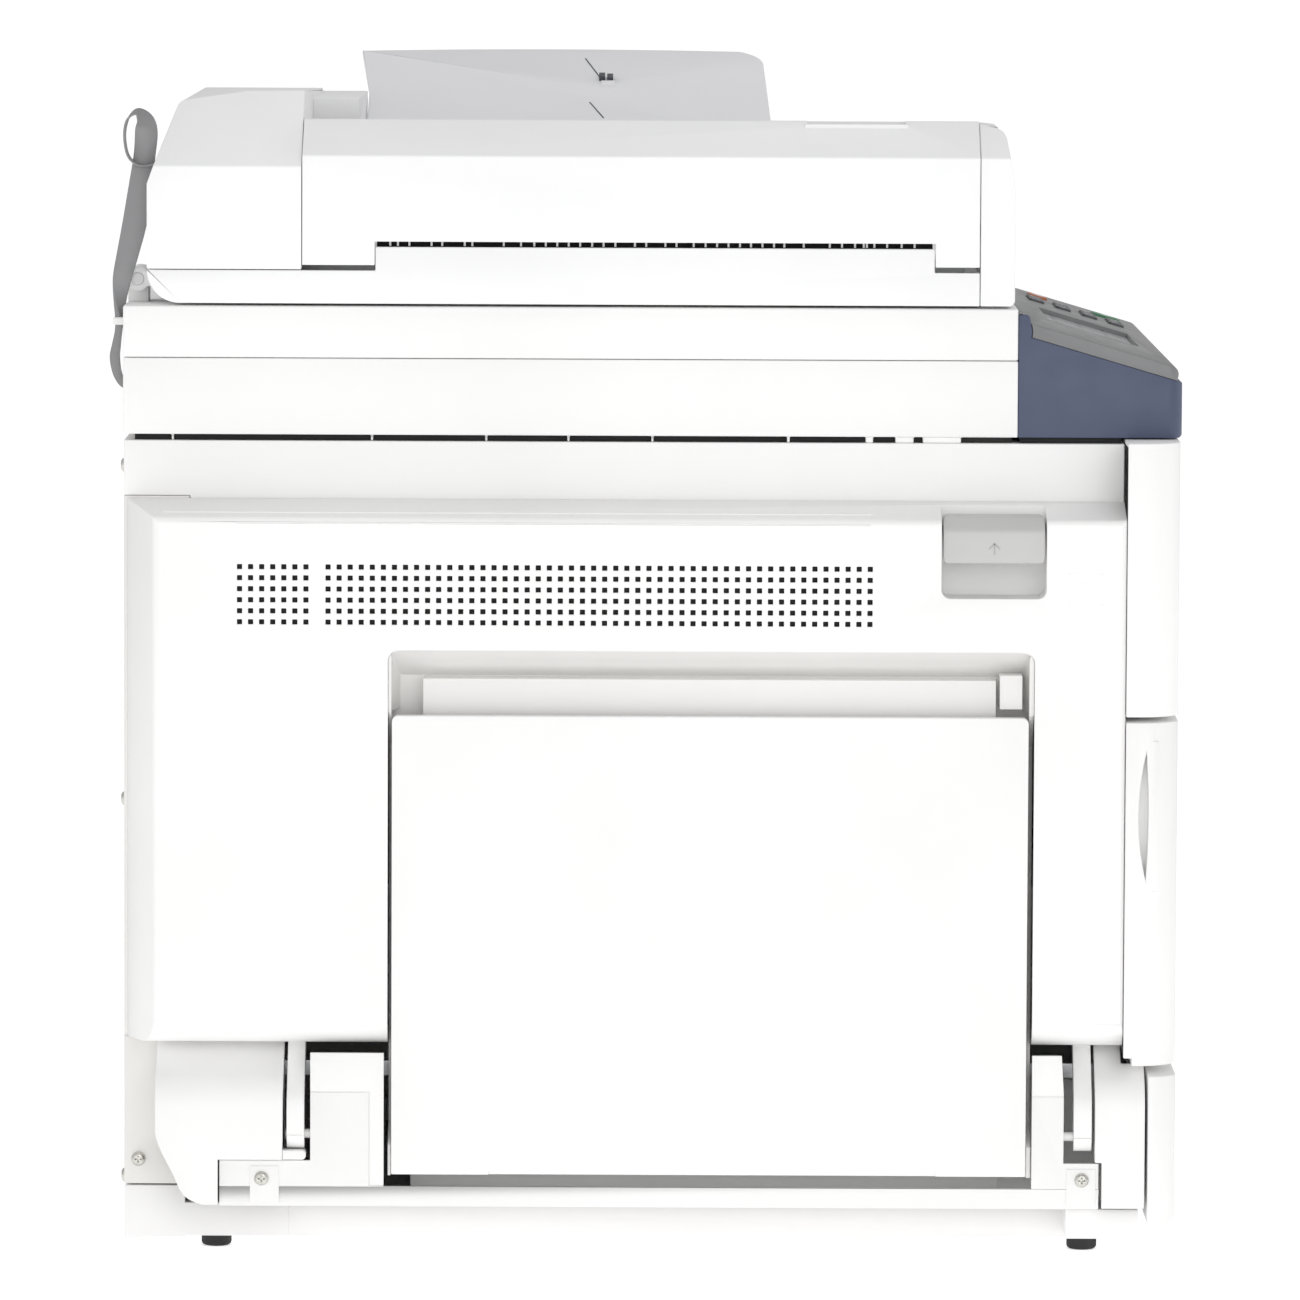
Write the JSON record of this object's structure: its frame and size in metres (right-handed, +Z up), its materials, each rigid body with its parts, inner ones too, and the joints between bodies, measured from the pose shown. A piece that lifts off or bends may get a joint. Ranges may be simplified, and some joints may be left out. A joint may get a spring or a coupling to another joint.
{
  "type": "photocopier",
  "caption": "Desktop A3 colour multifunction copier with a duplexing document feeder, in-body output tray, paper drawer, folding bypass tray and a hinged left side cover.",
  "frame": {"origin": "centre of the footprint, on the surface that the feet stand on", "axes": "+Z up, -Y towards the user at the control panel, -X towards the side with the bypass tray"},
  "size_m": [0.5918, 0.7049, 0.7824],
  "materials": {
    "cover_white": "fine texture",
    "cover_grey": "fine texture",
    "base_plastic": "satin",
    "bracket_white": "satin paint",
    "liner_white": "satin",
    "tray_grey": "fine texture",
    "guide_grey": "satin",
    "latch_grey": "satin",
    "panel_navy": "fine texture",
    "bezel_grey": "satin",
    "screen_glass": "gloss",
    "key_grey": "satin",
    "key_green": "satin",
    "key_orange": "satin",
    "foot_rubber": "matte",
    "frame_steel": "zinc plated",
    "hinge_steel": "satin",
    "screw_steel": "nickel plated",
    "inlet_black": "satin",
    "cartridge_plastic": "satin",
    "cartridge_dark": "satin",
    "belt_film": "gloss",
    "platen_glass": "clear",
    "cable_grey": "satin",
    "roller_rubber": "matte",
    "roller_silicone": "satin",
    "pad_white": "soft foam sheet"
  },
  "bodies": {
    "machine": {"base_frame": "base_plastic", "rubber_feet": "foot_rubber", "inner_frame": "frame_steel", "rear_cover": "cover_grey", "right_cover": "cover_white", "power_inlet": "inlet_black", "top_left_cover": "cover_white", "exit_tray": "tray_grey", "front_upper_panel": "cover_white", "lower_rear_cover": "cover_white", "lower_front_cover": "cover_white", "hinge_bracket": "bracket_white", "imaging_cartridges": "cartridge_plastic", "transfer_belt_unit": "belt_film", "fuser_unit": "cartridge_dark", "scanner_base": "cover_white", "scanner_top_cover": "cover_white", "platen_glasses": "platen_glass", "panel_housing": "panel_navy", "panel_bezel": "bezel_grey", "lcd_screen": "screen_glass", "dadf_hinge_bases": "hinge_steel", "dadf_cable": "cable_grey", "case_screws": "screw_steel"},
    "cover_a": {"cover_a_shell": "cover_white", "cover_a_liner": "liner_white"},
    "latch": {"cover_latch": "latch_grey"},
    "bypass": {"bypass_tray": "cover_white"},
    "door": {"front_door": "cover_white"},
    "drawer": {"paper_drawer": "cover_white"},
    "lift_plate": {"drawer_lift_plate": "frame_steel"},
    "drawer_guide_f": {"drawer_guide_front": "guide_grey"},
    "drawer_guide_r": {"drawer_guide_rear": "guide_grey"},
    "feed_shaft": {"feed_roller": "roller_rubber"},
    "heat_roller": {"fuser_roller": "roller_silicone"},
    "carriage": {"scan_carriage": "cartridge_dark"},
    "switch": {"power_switch": "inlet_black"},
    "lid": {"feeder_base": "cover_white", "platen_pad": "pad_white", "feeder_rear_cover": "cover_white", "feeder_front_cover": "cover_white"},
    "jam_cover": {"feeder_cover": "cover_white"},
    "pickup": {"pickup_roller": "roller_rubber"},
    "doc_tray": {"document_tray": "tray_grey"},
    "doc_guide_f": {"document_guide_front": "guide_grey"},
    "doc_guide_r": {"document_guide_rear": "guide_grey"},
    "key_0_cap": {"key_0": "key_grey"},
    "key_1_cap": {"key_1": "key_grey"},
    "key_2_cap": {"key_2": "key_grey"},
    "key_3_cap": {"key_3": "key_grey"},
    "key_4_cap": {"key_4": "key_grey"},
    "key_5_cap": {"key_5": "key_grey"},
    "key_6_cap": {"key_6": "key_grey"},
    "key_7_cap": {"key_7": "key_grey"},
    "key_8_cap": {"key_8": "key_grey"},
    "key_9_cap": {"key_9": "key_grey"},
    "key_star_cap": {"key_star": "key_grey"},
    "key_hash_cap": {"key_hash": "key_grey"},
    "key_start_cap": {"key_start": "key_green"},
    "key_stop_cap": {"key_stop": "key_orange"}
  },
  "joints": [
    {"name": "cover_a_swing", "type": "hinge", "parent": "machine", "child": "cover_a", "pos_m": [-0.2855, 0, 0.085], "axis": [0, -1, 0], "range_deg": [0, 36]},
    {"name": "latch_lift", "type": "hinge", "parent": "cover_a", "child": "latch", "pos_m": [-0.27, -0.22375, 0.486], "axis": [0, 1, 0], "range_deg": [0, 18], "stiffness_Nm_per_rad": 0.3},
    {"name": "bypass_fold", "type": "hinge", "parent": "cover_a", "child": "bypass", "pos_m": [-0.284, -0.04, 0.068], "axis": [0, -1, 0], "range_deg": [0, 69]},
    {"name": "door_swing", "type": "hinge", "parent": "machine", "child": "door", "pos_m": [0, -0.3405, 0.1378], "axis": [1, 0, 0], "range_deg": [0, 88]},
    {"name": "drawer_slide", "type": "slide", "parent": "machine", "child": "drawer", "axis": [0, -1, 0], "range_m": [0, 0.4]},
    {"name": "lift_plate_tilt", "type": "hinge", "parent": "drawer", "child": "lift_plate", "pos_m": [0.056, -0.09, 0.0398], "axis": [0, 1, 0], "range_deg": [0, 12]},
    {"name": "drawer_guide_front_slide", "type": "slide", "parent": "drawer", "child": "drawer_guide_f", "axis": [0, 1, 0], "range_m": [0, 0.036]},
    {"name": "drawer_guide_rear_slide", "type": "slide", "parent": "drawer", "child": "drawer_guide_r", "axis": [0, -1, 0], "range_m": [0, 0.036]},
    {"name": "feed_roller_spin", "type": "hinge", "parent": "machine", "child": "feed_shaft", "pos_m": [-0.222, 0, 0.152], "axis": [0, 1, 0], "continuous": true},
    {"name": "fuser_roller_spin", "type": "hinge", "parent": "machine", "child": "heat_roller", "pos_m": [-0.2, 0, 0.436], "axis": [0, 1, 0], "continuous": true},
    {"name": "carriage_slide", "type": "slide", "parent": "machine", "child": "carriage", "axis": [1, 0, 0], "range_m": [0, 0.45]},
    {"name": "power_rocker", "type": "hinge", "parent": "machine", "child": "switch", "pos_m": [0.29, -0.25, 0.21], "axis": [0, -1, 0], "range_deg": [0, 14]},
    {"name": "lid_lift", "type": "hinge", "parent": "machine", "child": "lid", "pos_m": [0, 0.338, 0.641], "axis": [-1, 0, 0], "range_deg": [0, 62], "deforming": ["dadf_cable"]},
    {"name": "feeder_cover_lift", "type": "hinge", "parent": "lid", "child": "jam_cover", "pos_m": [-0.245, 0, 0.672], "axis": [0, -1, 0], "range_deg": [0, 70]},
    {"name": "pickup_spin", "type": "hinge", "parent": "lid", "child": "pickup", "pos_m": [-0.09, 0, 0.694], "axis": [0, 1, 0], "continuous": true},
    {"name": "document_tray_lift", "type": "hinge", "parent": "lid", "child": "doc_tray", "pos_m": [-0.056, 0, 0.69], "axis": [0, -1, 0], "range_deg": [0, 30]},
    {"name": "document_guide_front_slide", "type": "slide", "parent": "doc_tray", "child": "doc_guide_f", "axis": [0, 1, 0], "range_m": [-0.024, 0.045]},
    {"name": "document_guide_rear_slide", "type": "slide", "parent": "doc_tray", "child": "doc_guide_r", "axis": [0, -1, 0], "range_m": [-0.024, 0.045]},
    {"name": "key_0_press", "type": "slide", "parent": "machine", "child": "key_0_cap", "axis": [0, 0.2823, -0.9593], "range_m": [0, 0.0012], "stiffness_N_per_m": 250},
    {"name": "key_1_press", "type": "slide", "parent": "machine", "child": "key_1_cap", "axis": [0, 0.2823, -0.9593], "range_m": [0, 0.0012], "stiffness_N_per_m": 250},
    {"name": "key_2_press", "type": "slide", "parent": "machine", "child": "key_2_cap", "axis": [0, 0.2823, -0.9593], "range_m": [0, 0.0012], "stiffness_N_per_m": 250},
    {"name": "key_3_press", "type": "slide", "parent": "machine", "child": "key_3_cap", "axis": [0, 0.2823, -0.9593], "range_m": [0, 0.0012], "stiffness_N_per_m": 250},
    {"name": "key_4_press", "type": "slide", "parent": "machine", "child": "key_4_cap", "axis": [0, 0.2823, -0.9593], "range_m": [0, 0.0012], "stiffness_N_per_m": 250},
    {"name": "key_5_press", "type": "slide", "parent": "machine", "child": "key_5_cap", "axis": [0, 0.2823, -0.9593], "range_m": [0, 0.0012], "stiffness_N_per_m": 250},
    {"name": "key_6_press", "type": "slide", "parent": "machine", "child": "key_6_cap", "axis": [0, 0.2823, -0.9593], "range_m": [0, 0.0012], "stiffness_N_per_m": 250},
    {"name": "key_7_press", "type": "slide", "parent": "machine", "child": "key_7_cap", "axis": [0, 0.2823, -0.9593], "range_m": [0, 0.0012], "stiffness_N_per_m": 250},
    {"name": "key_8_press", "type": "slide", "parent": "machine", "child": "key_8_cap", "axis": [0, 0.2823, -0.9593], "range_m": [0, 0.0012], "stiffness_N_per_m": 250},
    {"name": "key_9_press", "type": "slide", "parent": "machine", "child": "key_9_cap", "axis": [0, 0.2823, -0.9593], "range_m": [0, 0.0012], "stiffness_N_per_m": 250},
    {"name": "key_star_press", "type": "slide", "parent": "machine", "child": "key_star_cap", "axis": [0, 0.2823, -0.9593], "range_m": [0, 0.0012], "stiffness_N_per_m": 250},
    {"name": "key_hash_press", "type": "slide", "parent": "machine", "child": "key_hash_cap", "axis": [0, 0.2823, -0.9593], "range_m": [0, 0.0012], "stiffness_N_per_m": 250},
    {"name": "key_start_press", "type": "slide", "parent": "machine", "child": "key_start_cap", "axis": [0, 0.2823, -0.9593], "range_m": [0, 0.0012], "stiffness_N_per_m": 250},
    {"name": "key_stop_press", "type": "slide", "parent": "machine", "child": "key_stop_cap", "axis": [0, 0.2823, -0.9593], "range_m": [0, 0.0012], "stiffness_N_per_m": 250}
  ],
  "couplings": [
    {"joint": "drawer_guide_rear_slide", "follows": "drawer_guide_front_slide", "ratio": 1},
    {"joint": "document_guide_rear_slide", "follows": "document_guide_front_slide", "ratio": 1}
  ]
}
